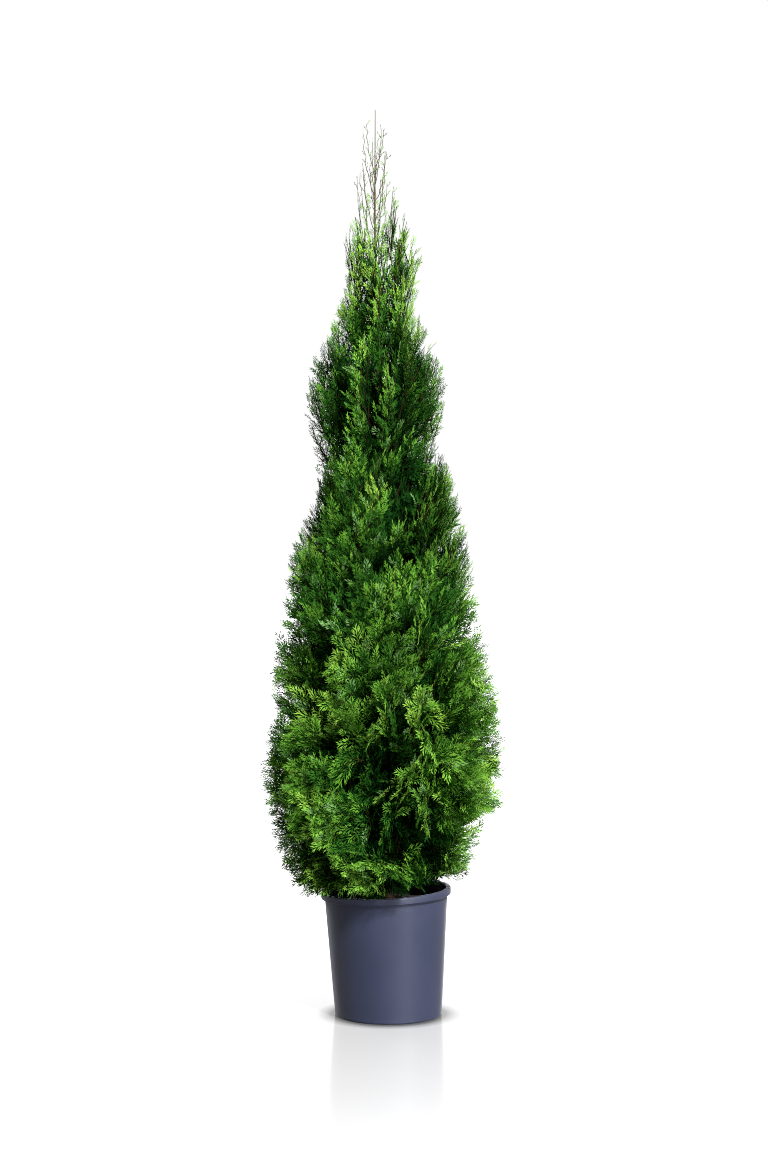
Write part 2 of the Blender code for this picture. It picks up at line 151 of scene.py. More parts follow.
def trunk_point(z):
    bend = TRUNK_BEND * math.sin(TRUNK_WAVE * z)
    return axis_point(z) + np.array((bend, bend * math.cos(TRUNK_TWIST * z), 0.0))


def trunk_radius(z):
    share = np.clip((z - SOIL_LEVEL) / (TREE_TIP - SOIL_LEVEL), 0.0, 1.0)
    flare = FLARE * np.exp(-(z - SOIL_LEVEL) / FLARE_HEIGHT)
    return lerp(TRUNK_RADIUS, TIP_RADIUS, share**TRUNK_TAPER) + flare


def outline_radius(z):
    return np.interp(z, OUTLINE[:, 0], OUTLINE[:, 1])


def lobe(z, angle):
    """How far the crown reaches at a height and an angle, as a share of its outline."""
    share = 1.0
    for dent in DENTS:
        turned_to = np.maximum(dent.side * np.cos(angle), 0.0) ** 2
        share = share - dent.depth * np.exp(-(((z - dent.height) / dent.length) ** 2)) * turned_to
    return share


def floor_of(level, rho, angle):
    if level == len(TIERS):
        return np.full_like(rho * 1.0, TOP)
    at_axis, at_rim = TIERS[level].floor_axis, TIERS[level].floor_rim
    share = rho / outline_radius(at_rim)
    wave = FLOOR_WAVE * np.sin(2.0 * angle + FLOOR_TURN * level) if level else 0.0
    return at_axis + (at_rim - at_axis + wave) * share


def masses():
    for level, tier in enumerate(TIERS):
        for number in range(1, tier.count + 1):
            azimuth = math.radians(tier.turn + 360.0 * (number - 1) / tier.count)
            reach = REACHES.get((tier.name, number), 1.0)
            yield Mass(tier, level, number, azimuth, math.pi / tier.count, reach)


def mass_radius(mass, side, z):
    return outline_radius(z) * mass.reach * (1.0 - GROOVE * np.abs(side) ** 3)


def space_point(mass, out, side, up):
    """A point of a mass's space: out from the axis to the outline and up from floor to ceiling both go from
    0 to 1, and side from -1 to 1."""
    angle = mass.azimuth + side * mass.half_angle
    z = mass.tier.floor_axis
    for _ in range(SETTLING_STEPS):
        rho = out * mass_radius(mass, side, z) * lobe(z, angle)
        ceiling = min(floor_of(mass.level + 1, rho, angle), TREE_TIP)
        z = lerp(z, lerp(floor_of(mass.level, rho, angle), ceiling, up), SETTLING)
    return axis_point(z) + rho * np.array((math.cos(angle), math.sin(angle), 0.0))


def clear_of_pot(p, margin):
    rim = POT_TOP_RADIUS + LIP_WIDTH + margin
    top = POT_HEIGHT + RIM_TILT * p[..., 0] + margin
    off = np.hypot(p[..., 0] - POT_LEAN * POT_HEIGHT, p[..., 1])
    inside = (off < POT_TOP_RADIUS - POT_WALL - margin) & (p[..., 2] > SOIL_LEVEL + margin)
    return (p[..., 2] > top) | (off > rim) | inside


def in_space(mass, p, slack, overreach):
    """Which points keep to a mass's space, with so much slack at the walls and past the outline."""
    centre = lerp(FOOT_X, TIP_X, (p[..., 2] - SOIL_LEVEL) / (TREE_TIP - SOIL_LEVEL))
    x, y, z = p[..., 0] - centre, p[..., 1], p[..., 2]
    rho, angle = np.hypot(x, y), np.arctan2(y, x)
    turn = np.abs((angle - mass.azimuth + math.pi) % (2.0 * math.pi) - math.pi)
    past = np.maximum(turn - mass.half_angle, 0.0)
    good = rho * np.sin(np.minimum(past, math.pi / 2)) < slack
    good &= z > floor_of(mass.level, rho, angle) - slack
    good &= z < np.minimum(floor_of(mass.level + 1, rho, angle) + slack, TREE_TIP)
    side = np.minimum(turn / mass.half_angle, 1.0)
    good &= rho < mass_radius(mass, side, z) * lobe(z, angle) * overreach
    return good & (rho > trunk_radius(z) + CLEARANCE) & clear_of_pot(p, CLEARANCE)


def bezier(path, t):
    start, middle, end = path
    t = np.asarray(t)[..., None]
    return (1.0 - t) ** 2 * start + 2.0 * t * (1.0 - t) * middle + t * t * end


def along(path, count, end=1.0):
    return bezier(path, np.linspace(0.0, end, count))


def unit(v):
    return v / np.maximum(np.linalg.norm(v, axis=-1, keepdims=True), 1e-9)


def turned_about(v, axis, angle):
    """v turned about a unit axis."""
    c, s = np.cos(angle)[..., None], np.sin(angle)[..., None]
    kept = np.sum(v * axis, axis=-1, keepdims=True) * axis
    return kept + (v - kept) * c + np.cross(axis, v) * s


def bough_path(mass):
    return [space_point(mass, *spot) for spot in BOUGH_SPOTS]


def stem_path(mass):
    """A mass's stem, which goes on from its bough or, in the plume, leaves the trunk."""
    if mass.tier.bough:
        _, middle, tip = bough_path(mass)
        start = tip + unit(tip - middle) * TOUCH_GAP
        return start, start + (tip - middle) * BOUGH_STEM_LEAD, space_point(mass, *BOUGH_STEM_TIP)
    root, middle, tip = [space_point(mass, *spot) for spot in TRUNK_STEM_SPOTS]
    return trunk_point(root[2]), middle, tip


# ---- meshes from arrays
class Bundle:
    """Triangles gathered for one mesh, each with a material."""

    def __init__(self):
        self.points, self.faces, self.finishes, self.count = [], [], [], 0

    def add(self, points, faces, finishes):
        self.points.append(points.reshape(-1, 3))
        self.faces.append(faces.reshape(-1, 3) + self.count)
        self.finishes.append(np.broadcast_to(finishes, faces.reshape(-1, 3).shape[0]).ravel())
        self.count += len(self.points[-1])

    def build(self, name, materials, smooth=False):
        points = np.concatenate(self.points).astype(np.float32)
        faces = np.concatenate(self.faces).astype(np.int32)
        finishes = np.concatenate(self.finishes).astype(np.int32)
        used = np.unique(finishes)
        mesh = bpy.data.meshes.new(name)
        mesh.vertices.add(len(points))
        mesh.vertices.foreach_set("co", points.ravel())
        mesh.loops.add(faces.size)
        mesh.loops.foreach_set("vertex_index", faces.ravel())
        mesh.polygons.add(len(faces))
        mesh.polygons.foreach_set("loop_start", np.arange(0, faces.size, 3, dtype=np.int32))
        mesh.polygons.foreach_set("material_index", np.searchsorted(used, finishes).astype(np.int32))
        mesh.polygons.foreach_set("use_smooth", np.full(len(faces), smooth))
        mesh.update(calc_edges=True)
        for k in used:
            mesh.materials.append(materials[k])
        obj = bpy.data.objects.new(name, mesh)
        bpy.context.scene.collection.objects.link(obj)
        return obj


def tube(points, radii, sides):
    """Points and triangles of a tube with closed ends, with a frame carried along it."""
    ways = unit(np.gradient(points, axis=0))
    upright = abs(ways[0][2]) >= 0.9
    x = unit(np.cross(ways[0], np.array((1.0, 0.0, 0.0)) if upright else UP))
    rings = []
    angles = 2.0 * math.pi * np.arange(sides) / sides
    for point, direction, radius in zip(points, ways, radii):
        x = unit(x - direction * (x @ direction))
        y = np.cross(direction, x)
        rings.append(point + radius * (np.outer(np.cos(angles), x) + np.outer(np.sin(angles), y)))
    n = len(points)
    a = (np.arange(n - 1)[:, None] * sides + np.arange(sides)).ravel()
    b = (np.arange(n - 1)[:, None] * sides + (np.arange(sides) + 1) % sides).ravel()
    last = (n - 1) * sides
    tip = [(last, last + k, last + k + 1) for k in range(1, sides - 1)]
    foot = [(0, k + 1, k) for k in range(1, sides - 1)]
    walls = (np.stack((a, b, b + sides), 1), np.stack((a, b + sides, a + sides), 1))
    return np.concatenate(rings), np.concatenate((*walls, np.array(tip), np.array(foot)))


# ---- the sprays' patterns: lengths are shares of a spray's length
AXIS, BODY, END = range(3)  # a branchlet's place in its spray
Pattern = namedtuple("Pattern", "points faces roles")

FOLD_DEPTH = 0.30  # of a branchlet's width
FOOT_DROP = 0.15  # the same, at the foot of a hidden one
WIDEST_AT = 0.55  # of a branchlet's length
JITTER = (0.85, 1.15)
CLOSING = 16.0  # how many degrees the laterals' angle falls from foot to tip
CURL, ZIGZAG = 0.08, 0.36  # radians
END_STRANDS = 1.7  # how many strands long a lateral's end is
END_FROM = 0.70  # further up a spray every branchlet is an end


def lateral_reach(fullness, x):
    """How long the lateral at x is: longest a quarter of the way up the spray."""
    return fullness * (1.0 - x) ** 0.7 * min(1.0, 0.6 + 1.6 * x)


def spray_pattern(rng, laterals, gap, width, spread, fullness, strand):
    """A flat spray of unit length along X, of slender branchlets folded along their middles.

    gap is the distance between branchlets on a lateral, width and strand are a branchlet's width and length,
    spread is the laterals' angle in degrees and fullness their length."""
    points, faces, roles = [], [], []

    def branchlet(x, y, z, angle, length, wide, role, lift, hidden=False):
        """A hidden one is a single face, from a broad foot to its tip."""
        c, s = math.cos(angle), math.sin(angle)
        off_x, off_y = 0.5 * wide * s, 0.5 * wide * c
        tip = (x + length * c, y + length * s, z + lift)
        first = len(points)
        if hidden:
            low = z - FOOT_DROP * wide
            points.extend(((x + off_x, y - off_y, low), tip, (x - off_x, y + off_y, low)))
            faces.append((first, first + 1, first + 2))
            roles.append(role)
            return
        middle_x, middle_y = x + WIDEST_AT * length * c, y + WIDEST_AT * length * s
        fold = z + (0.5 * lift - FOLD_DEPTH * wide)
        points.append((x, y, z))
        points.append((middle_x + off_x, middle_y - off_y, fold))
        points.append(tip)
        points.append((middle_x - off_x, middle_y + off_y, fold))
        faces.extend(((first, first + 1, first + 2), (first, first + 2, first + 3)))
        roles.extend((role, role))

    sway = rng.uniform(-0.06, 0.06)
    branchlet(0.0, 0.0, 0.0, 0.0, 0.55, 1.3 * width, AXIS, 0.0, hidden=True)
    branchlet(0.42, sway * 0.42, 0.0, sway, 0.58, 1.1 * width, END, 0.0)
    side = rng.choice((-1.0, 1.0))
    for j in range(laterals):
        side = -side
        x = 0.08 + 0.82 * (j + rng.uniform(-0.25, 0.25)) / laterals
        y = sway * x
        reach = lateral_reach(fullness, x) * rng.uniform(*JITTER)
        angle = math.radians(spread - CLOSING * x + rng.uniform(-6.0, 6.0))
        tilt = rng.uniform(-0.10, 0.14)
        px, py, pz = x, y, 0.0
        done, k, heading = 0.0, 0, angle
        while done < reach - strand:
            step = gap * rng.uniform(*JITTER)
            heading -= CURL
            px += step * math.cos(heading)
            py += side * step * math.sin(heading)
            pz += step * tilt
            done += step
            k += 1
            turn = ZIGZAG if k % 2 else -ZIGZAG
            size = strand * rng.uniform(0.75, 1.1)
            role = END if reach - done < END_STRANDS * strand or x > END_FROM else BODY
            lift = size * rng.uniform(-0.36, 0.36)
            wide = width * rng.uniform(0.85, 1.1)
            branchlet(px, py, pz, side * (heading + turn), size, wide, role, lift, hidden=role == BODY)
        last = 1.15 * strand
        branchlet(px, py, pz, side * heading, last, width, END, last * tilt)
        if k:
            core = done + 0.4 * strand
            branchlet(x, y, 0.0, side * angle, core, 1.1 * width, BODY, done * tilt, hidden=True)
    return Pattern(np.array(points), np.array(faces), np.array(roles))


def patterns(seed, count, **sizes):
    rng = np.random.default_rng(seed)
    return [spray_pattern(rng, **sizes) for _ in range(count)]


FULL = patterns(1, 12, laterals=8, gap=0.118, width=0.040, spread=39.0, fullness=0.46, strand=0.22)
SLIM = patterns(2, 8, laterals=7, gap=0.130, width=0.042, spread=27.0, fullness=0.36, strand=0.22)
COARSE = patterns(3, 6, laterals=7, gap=0.150, width=0.075, spread=50.0, fullness=0.60, strand=0.24)
WISP = patterns(4, 5, laterals=4, gap=0.250, width=0.070, spread=30.0, fullness=0.30, strand=0.24)

Spray = namedtuple("Spray", "kind base x z length bend tone")
Twig = namedtuple("Twig", "line radii inner")

# ---- colours: plain ones, dealt out by spray
GREENS = (
    # (name, axis, body, end); the axis and body are darker than the end, partly as the paler young tips and
    # partly as painted shade within the spray
    ("young", (0.046, 0.105, 0.012), (0.070, 0.175, 0.012), (0.265, 0.500, 0.068)),
    ("fresh", (0.018, 0.065, 0.007), (0.033, 0.122, 0.009), (0.172, 0.400, 0.046)),
    ("full", (0.0075, 0.034, 0.0045), (0.014, 0.070, 0.005), (0.100, 0.270, 0.026)),
    # deep and shade are painted shade: near-black greens for sprays inside the crown and in its valleys.
    ("deep", (0.0025, 0.014, 0.0018), (0.004, 0.030, 0.003), (0.029, 0.112, 0.012)),
    ("shade", (0.0015, 0.007, 0.001), (0.003, 0.018, 0.003), (0.008, 0.046, 0.006)),
    ("under", (0.030, 0.076, 0.020), (0.040, 0.112, 0.030), (0.165, 0.340, 0.105)),
    ("spent", (0.060, 0.060, 0.026), (0.046, 0.070, 0.018), (0.070, 0.105, 0.026)),
)
YOUNG, FRESH, FULLER, DEEP, SHADE, UNDER, SPENT = range(len(GREENS))
BROWNS = (
    ("twig_old", (0.006, 0.006, 0.003)),
    ("twig_red", (0.024, 0.016, 0.007)),
    ("twig_green", (0.012, 0.044, 0.006)),
    ("twig_grey", (0.080, 0.070, 0.036)),
)
TWIG_OLD, TWIG_RED, TWIG_GREEN, TWIG_GREY = range(3 * len(GREENS), 3 * len(GREENS) + len(BROWNS))


def shader_of(name):
    """A new material, its nodes, its shader and the place that its textures are laid out by."""
    made = bpy.data.materials.new(name)
    made.use_nodes = True
    tree = made.node_tree
    place = tree.nodes.new("ShaderNodeTexCoord").outputs["Object"]
    return made, tree, tree.nodes["Principled BSDF"], place


def feed(tree, node, inputs):
    """Sets a node's inputs, each to a value or to what another node puts out."""
    for name, value in inputs.items():
        if isinstance(value, bpy.types.NodeSocket):
            tree.links.new(value, node.inputs[name])
        else:
            node.inputs[name].default_value = value


def fed(tree, kind, inputs, **settings):
    """A new node with these inputs and settings."""
    node = tree.nodes.new(kind)
    for name, value in settings.items():
        setattr(node, name, value)
    feed(tree, node, inputs)
    return node


def ramp_between(tree, fac, dark_at, dark, light_at, light):
    """A colour that goes from a dark one to a light one."""
    ramp = fed(tree, "ShaderNodeValToRGB", {"Fac": fac})
    first, second = ramp.color_ramp.elements
    first.position, second.position = dark_at, light_at
    first.color, second.color = (*dark, 1.0), (*light, 1.0)
    return ramp.outputs["Color"]


def noise_of(tree, vector, scale, **inputs):
    return fed(tree, "ShaderNodeTexNoise", {"Vector": vector, "Scale": scale, **inputs}).outputs["Fac"]


def between(tree, value, low, high):
    return fed(tree, "ShaderNodeMapRange", {"Value": value, "To Min": low, "To Max": high}).outputs["Result"]


def relief(tree, height, **inputs):
    return fed(tree, "ShaderNodeBump", {"Height": height, **inputs}).outputs["Normal"]


def leaf_material(name, colour, roughness, grain):
    """A plain colour, with the scales' fine relief and an uneven sheen."""
    made, tree, shader, place = shader_of(name)
    scales = fed(tree, "ShaderNodeTexVoronoi", {"Vector": place, "Scale": grain})
    normal = relief(tree, scales.outputs["Distance"], Strength=0.35, Distance=0.0006)
    dull = between(tree, noise_of(tree, place, 90.0), roughness - 0.10, roughness + 0.12)
    feed(tree, shader, {"Base Color": (*colour, 1.0), "Roughness": dull, "Normal": normal})
    feed(tree, shader, {"Specular IOR Level": 0.01})
    return made


def foliage_materials():
    made = []
    for name, *colours in GREENS:
        for part, colour in zip(("axis", "body", "end"), colours):
            made.append(leaf_material(f"{name}_{part}", colour, roughness=0.52, grain=700.0))
    for name, colour in BROWNS:
        made.append(leaf_material(name, colour, roughness=0.75, grain=420.0))
    return made


# ---- the greens of a mass's sprays
# Past these depths inside the outline, sprays get the deep and shade greens: painted shade.
SHADE_DEPTH, DEEP_DEPTH = 0.29, 0.18
UNDER_SHARE = 0.07  # of the outer sprays, those that show pale undersides
DEEP_TONE = -0.5  # below this tone every outer spray gets the deep green, as painted shade
# The green is brightest at this depth and darker further from it, by so much: partly the older green inside
# the crown, partly painted shade.
BRIGHTEST_DEPTH = 0.08
AGEING_AND_PAINTED_SHADE = 1.6
GREEN_STEPS = ((YOUNG, 0.58), (FRESH, 0.28), (FULLER, 0.03))
LEAST_OUTLINE = 0.15
# How much darker a spoke's greens are: painted shade, which darkens the crown's edges where spokes show flat.
SPOKE_DARKER = 0.20
SUNNY_SIDE = 0.04  # the sprays on the right, towards the key lamp, are lighter than those on the left: painted light
FROND_TONES = (-0.56, 0.22)  # how the fronds' tone goes from a branch's foot to its tip: darker at the foot is painted shade in the valleys between branches, lighter at the tip partly the young growth


def tone_of(rng, depth, tone):
    """A spray's green: younger and lighter near the outline, darker further in, partly as older green and
    partly as painted shade; the deep and shade greens are painted shade. depth is a share of the outline's
    radius."""
    if depth > SHADE_DEPTH:
        return SHADE
    if depth > DEEP_DEPTH:
        return DEEP if rng.random() < 0.45 else SHADE
    if tone < DEEP_TONE:
        return DEEP
    if rng.random() < UNDER_SHARE:
        return UNDER
    value = tone - AGEING_AND_PAINTED_SHADE * abs(depth - BRIGHTEST_DEPTH) + rng.normal(0.0, 0.11)
    for green, least in GREEN_STEPS:
        if value > least:
            return green
    return DEEP


def depth_of(mass, p):
    """How far inside the crown's outline a point is, as a share of its radius or of LEAST_OUTLINE."""
    x, y = off_axis(p)
    outline = outline_radius(p[2]) * float(lobe(p[2], math.atan2(y, x)))
    inside = mass.reach * outline - math.hypot(x, y)
    return inside / max(outline, LEAST_OUTLINE)


# ---- where a spray may be
FIT_SPOTS = np.array(((1.0, 0.0), (0.7, 0.22), (0.7, -0.22), (0.4, 0.30), (0.4, -0.30), (0.25, 0.0)))
SPRAY_SLACK, SKIRT_SLACK = 0.020, 0.008
SPRAY_OVERREACH = 1.07
RIM_CLEAR = (0.262, 0.16, 0.24)  # the skirt's lower edge, and how it rises to front and back and to the right
STRAYS = 0.10  # the share of sprays that hang past it
OPEN_ABOVE = 1.655  # the topmost masses thin out from here and leave the trunk's tip in view
OPENING = 5.0  # how fast the share of sprays left out grows from there
OPEN_RHO = 0.034


def fits(mass, base, x, y, length):
    spots = base + length * (FIT_SPOTS[:, :1] * x + FIT_SPOTS[:, 1:] * y)
    return bool(in_space(mass, spots, SPRAY_SLACK if mass.level else SKIRT_SLACK, SPRAY_OVERREACH).all())


def hangs_low(mass, p):
    """Whether a point is below the skirt's lower edge."""
    edge = RIM_CLEAR[0] + RIM_CLEAR[1] * abs(p[1]) + RIM_CLEAR[2] * max(p[0], 0.0)
    return mass.level < 2 and p[2] < edge


def left_open(mass, rng, p):
    """Whether a spray is left out, where the crown opens round the trunk's tip or above the pot's rim."""
    if hangs_low(mass, p):
        return rng.random() > STRAYS
    if mass.tier.bough or p[2] < OPEN_ABOVE:
        return False
    return math.hypot(*off_axis(p)) < OPEN_RHO or rng.random() < OPENING * (p[2] - OPEN_ABOVE)


# ---- the sprays along a branch or frond; angles are in degrees
NEARBY = 0.02  # the step along a curve that gives its direction
SPRAY_GAP = 0.0162
SPRAY_SHRINKS = (1.0, 0.78, 0.58)  # tried in turn until a spray fits
COARSE_DEPTH = 0.30
INNER_DEPTH = 0.10  # how deep the coarser inner sprays keep
SLIM_RISE, SLIM_SHARE = 0.8, 0.65  # in tiers that rise this much, this share of outer sprays is slim


def out_and_aside(p):
    """Unit vectors away from the axis and round it, at a point."""
    outward = unit(np.array((*off_axis(p), 0.0)))
    return outward, np.cross(UP, outward)


def plane_normal(rng, facing, toward, outward, aside):
    """The normal of the flat side of a frond that points toward, turned to the outside by so many degrees."""
    edge_on = unit(aside - toward * (aside @ toward))
    face_out = unit(outward - toward * (outward @ toward) + 0.001 * UP)
    facing = math.radians(facing + rng.normal(0.0, 22.0))
    return unit(math.cos(facing) * edge_on + math.sin(facing) * face_out)


def frame_at(curve, s, normal):
    """Part of the way along a curve: the point, the direction, the flat side's normal and the way across."""
    ahead = unit(bezier(curve, min(1.0, s + NEARBY)) - bezier(curve, s - NEARBY))
    plane = unit(normal - ahead * (normal @ ahead))
    return bezier(curve, s), ahead, plane, np.cross(plane, ahead)


def swell(t):
    """How long a spray is at its place on a frond: longest a good third of the way along."""
    return 0.80 + 0.55 * t - 0.75 * t**2


def kind_of(mass, rng, depth):
    if depth > COARSE_DEPTH:
        return COARSE
    if mass.tier.rise > SLIM_RISE and rng.random() < SLIM_SHARE:
        return SLIM
    return FULL


def clothe(mass, rng, curve, leafy, size, gap, normal, tone, sprays, steep, inner=False):
    """Sprays along the outer part of a curve, alternately left and right, with one at its tip."""
    line = along(curve, 7)
    total = np.linalg.norm(np.diff(line, axis=0), axis=1).sum()
    leafy = min(leafy, 0.94 * total)
    count = max(2, round(leafy / gap))
    side = rng.choice((-1.0, 1.0))
    for k in range(count + 1):
        side = -side
        near_tip = k / count
        s = (total - leafy + leafy * (k + rng.uniform(-0.2, 0.2)) / count) / total
        s = min(1.0, max(NEARBY, s))
        base, ahead, plane, across = frame_at(curve, s, normal)
        length = size * swell(near_tip) * rng.uniform(0.85, 1.2)
        angle = math.radians(steep * lerp(1.0, 0.62, near_tip) + rng.normal(0.0, 4.0))
        if k == count:
            length, angle = 0.85 * size, 0.0
        x = unit(ahead * math.cos(angle) + across * side * math.sin(angle) + rng.normal(0.0, 0.05, 3))
        z = unit(plane + rng.normal(0.0, 0.14) * across * side + rng.normal(0.0, 0.07, 3))
        z = unit(z - x * (z @ x))
        for shrink in SPRAY_SHRINKS:
            if left_open(mass, rng, base + x * length):
                break
            if not fits(mass, base, x, np.cross(z, x), length * shrink):
                continue
            depth = depth_of(mass, base + x * length * shrink)
            if inner and depth < INNER_DEPTH:
                break
            green = tone_of(rng, depth, tone + 0.30 * (near_tip - 0.5))
            if green == SHADE and not mass.tier.bough:
                green = DEEP
            kind = kind_of(mass, rng, depth)
            sprays.append(Spray(kind, base, x, z, length * shrink, rng.normal(0.10, 0.16), green))
            break


# ---- branches, fronds and the twigs inside the crown; angles are in degrees
SPOKE_SHARE = 0.28  # of the branches, those that run straight out, with their flat sides to left and right
BRANCH_LEAD = 0.55  # the share of its span over which a branch turns
BRANCH_RADIUS, BRANCH_THICKENING = 0.0014, 0.003
FRONDS_FROM, FRONDS_TO = 0.30, 0.92
FROND_LENGTHS = (1.15, 0.75)  # from a branch's foot to its tip
FROND_SHRINKS = (1.0, 0.75, 0.5)
FROND_SLACK, FROND_OVERREACH = 0.025, 0.98
TWIG_TIP = 0.0006
FROND_RADII, FROND_POINTS = (0.0012, TWIG_TIP), 4
INNER_RADII, INNER_POINTS = (0.0018, 0.0008), 5
INNER_COUNT, PLUME_INNER_COUNT = 44, 14

# The steps of an even scatter over a square: 1 / p and 1 / p**2, p being 1.3247, the plastic number.
SCATTER = (0.7548776662, 0.5698402910)
BRANCH_UP, INNER_UP = (0.03, 0.94), (0.04, 0.92)  # from what height, and over how much
BRANCH_OUT, INNER_OUT = (0.83, 1.02), (0.10, 0.88)
BRANCH_SIDES, INNER_SIDES = 1.8, 1.9
FORK_BELOW, FORK_LOW, FORK_HIGH = 0.35, 0.04, 0.95


def twig_along(curve, radii, steps, inner=False):
    return Twig(along(curve, steps), np.linspace(*radii, steps), inner)


def grow_frond(mass, rng, curve, s, side, normal, toward, tone, sprays, twigs):
    """A twig that leaves a branch's curve part of the way along, with its sprays."""
    tier = mass.tier
    base, ahead, plane, across = frame_at(curve, s, normal)
    angle = math.radians(tier.open + rng.normal(0.0, 9.0))
    spill = rng.normal(0.0, 0.09, 3)
    way = unit(ahead * math.cos(angle) + across * side * math.sin(angle) + spill)
    length = tier.frond * lerp(*FROND_LENGTHS, s) * rng.uniform(*JITTER)
    for shrink in FROND_SHRINKS:
        reach = length * shrink
        end = base + way * 0.85 * reach + toward * 0.25 * reach
        if in_space(mass, end, FROND_SLACK, FROND_OVERREACH) and not hangs_low(mass, end):
            twig = (base, base + way * 0.5 * reach, end)
            twigs.append(twig_along(twig, FROND_RADII, FROND_POINTS))
            turned = turned_about(plane, way, np.array(rng.normal(0.0, 0.20)))
            own = tone + lerp(*FROND_TONES, s) + rng.normal(0.0, 0.15)
            clothe(mass, rng, twig, 0.9 * reach, tier.spray, SPRAY_GAP, turned, own, sprays, tier.steep)
            break


def grow_branch(mass, rng, path, fork, tip, sprays, twigs):
    """A branch from the stem to a tip at the outline, with sprays at its end and fronds to left and right."""
    tier = mass.tier
    start = bezier(path, fork)
    outward, aside = out_and_aside(tip)
    rise = tier.rise + rng.normal(0.0, 0.17)
    spoke = rng.random() < SPOKE_SHARE
    sweep = tier.aside * (0.4 if spoke else 1.0)
    toward = unit((tier.out + 0.3 * spoke) * outward + rise * UP + rng.normal(0.0, sweep) * aside)
    span = np.linalg.norm(tip - start)
    if hangs_low(mass, tip):
        return
    curve = (start, tip - toward * BRANCH_LEAD * span, tip)
    radii = (BRANCH_RADIUS + BRANCH_THICKENING * span, TWIG_TIP)
    twigs.append(twig_along(curve, radii, 7))
    normal = plane_normal(rng, 35.0 if spoke else tier.facing, toward, outward, aside)
    # SUNNY_SIDE paints light on the right-hand sprays
    tone = tier.youth + SUNNY_SIDE * outward[0] + rng.normal(0.0, 0.18)
    # spokes get painted shade
    tone -= SPOKE_DARKER if spoke else 0.0
    clothe(mass, rng, curve, 0.8 * tier.frond, tier.spray, SPRAY_GAP, normal, tone, sprays, tier.steep)
    side = rng.choice((-1.0, 1.0))
    count = int(rng.integers(5, 9))
    for k in range(count):
        side = -side
        s = lerp(FRONDS_FROM, FRONDS_TO, (k + rng.uniform(0.2, 0.8)) / count)
        grow_frond(mass, rng, curve, s, side, normal, toward, tone, sprays, twigs)


def grow_inner(mass, rng, path, fork, tip, sprays, twigs):
    """A twig inside the crown, with coarser sprays in the deep and shade greens, which are painted shade."""
    tier = mass.tier
    start = bezier(path, fork)
    outward, aside = out_and_aside(tip)
    toward = unit(tier.out * outward + tier.rise * UP + rng.normal(0.0, 0.4) * aside)
    span = np.linalg.norm(tip - start)
    if hangs_low(mass, tip):
        return
    curve = (start, tip - toward * 0.5 * span, tip)
    twigs.append(twig_along(curve, INNER_RADII, INNER_POINTS, inner=True))
    normal = plane_normal(rng, tier.facing, toward, outward, aside)
    # tone -1.0 gives every inner spray a painted-shade green
    habit = {"leafy": 0.12, "size": 1.4 * tier.spray, "gap": 0.024, "tone": -1.0, "steep": 52.0}
    clothe(mass, rng, curve, normal=normal, sprays=sprays, inner=True, **habit)


def scatter(k, across, up, start, over):
    """The next spot of an even scatter: how far across, from 0 to 1, and how far up."""
    return (across + k * SCATTER[0]) % 1.0, start + over * ((up + k * SCATTER[1]) % 1.0)


def grow_mass(mass, rng):
    """The sprays and twigs of a mass, with its branches scattered evenly over its outer side."""
    tier = mass.tier
    path = stem_path(mass)
    sprays, twigs = [], []
    phase = rng.random()
    for k in range(tier.branches):
        across, up = scatter(k, phase, phase * 0.37, *BRANCH_UP)
        fork = up - FORK_BELOW + rng.uniform(-0.15, 0.15)
        fork = min(FORK_HIGH, max(FORK_LOW, fork))
        near = space_point(mass, 0.9, 0.0, up)
        short = 0.55 * tier.spray * tier.out / outline_radius(near[2])
        tip = space_point(mass, rng.uniform(*BRANCH_OUT) - short, BRANCH_SIDES * (across - 0.5), up)
        grow_branch(mass, rng, path, fork, tip, sprays, twigs)
    for k in range(INNER_COUNT if tier.bough else PLUME_INNER_COUNT):
        across, up = scatter(k, phase + 0.5, phase * 0.61, *INNER_UP)
        tip = space_point(mass, rng.uniform(*INNER_OUT), INNER_SIDES * (across - 0.5), up)
        grow_inner(mass, rng, path, max(0.02, up - 0.45), tip, sprays, twigs)
    return path, sprays, twigs


# ---- sprays and twigs into meshes
CUPPING = 0.25  # how far a spray's sides bend down
STEM_POINTS = 14


def add_pattern(bundle, pattern, members):
    """Puts one pattern in the places of these (spray, flip) pairs."""
    n = len(members)
    fields = ("x", "z", "base", "length", "bend", "tone")
    x, z, base, length, bend, tone = (np.array([getattr(s, f) for s, _ in members]) for f in fields)
    flip = np.array([f for _, f in members])
    local = np.repeat(pattern.points[None], n, 0)
    local[..., 1] *= flip[:, None]
    local[..., 2] -= bend[:, None] * local[..., 0] ** 2 + CUPPING * np.abs(local[..., 1]) ** 1.5
    axes = np.stack((x, np.cross(z, x), z), 1)
    world = base[:, None] + length[:, None, None] * np.einsum("nvi,nij->nvj", local, axes)
    faces = pattern.faces[None] + (np.arange(n) * len(pattern.points))[:, None, None]
    bundle.add(world, faces, (3 * tone[:, None] + pattern.roles[None]).ravel())


def add_sprays(bundle, rng, sprays):
    """Deals the sprays the patterns of their kind, flipped or not."""
    for kind in (FULL, SLIM, COARSE, WISP):
        chosen = [s for s in sprays if s.kind is kind]
        if not chosen:
            continue
        picks = rng.integers(0, len(kind), len(chosen))
        flips = rng.choice((-1.0, 1.0), len(chosen))
        for number, pattern in enumerate(kind):
            members = [(s, f) for s, p, f in zip(chosen, picks, flips) if p == number]
            if members:
                add_pattern(bundle, pattern, members)


def add_twig(bundle, line, radii, finish, sides=3):
    points, faces = tube(line, radii, sides)
    bundle.add(points, faces, finish)


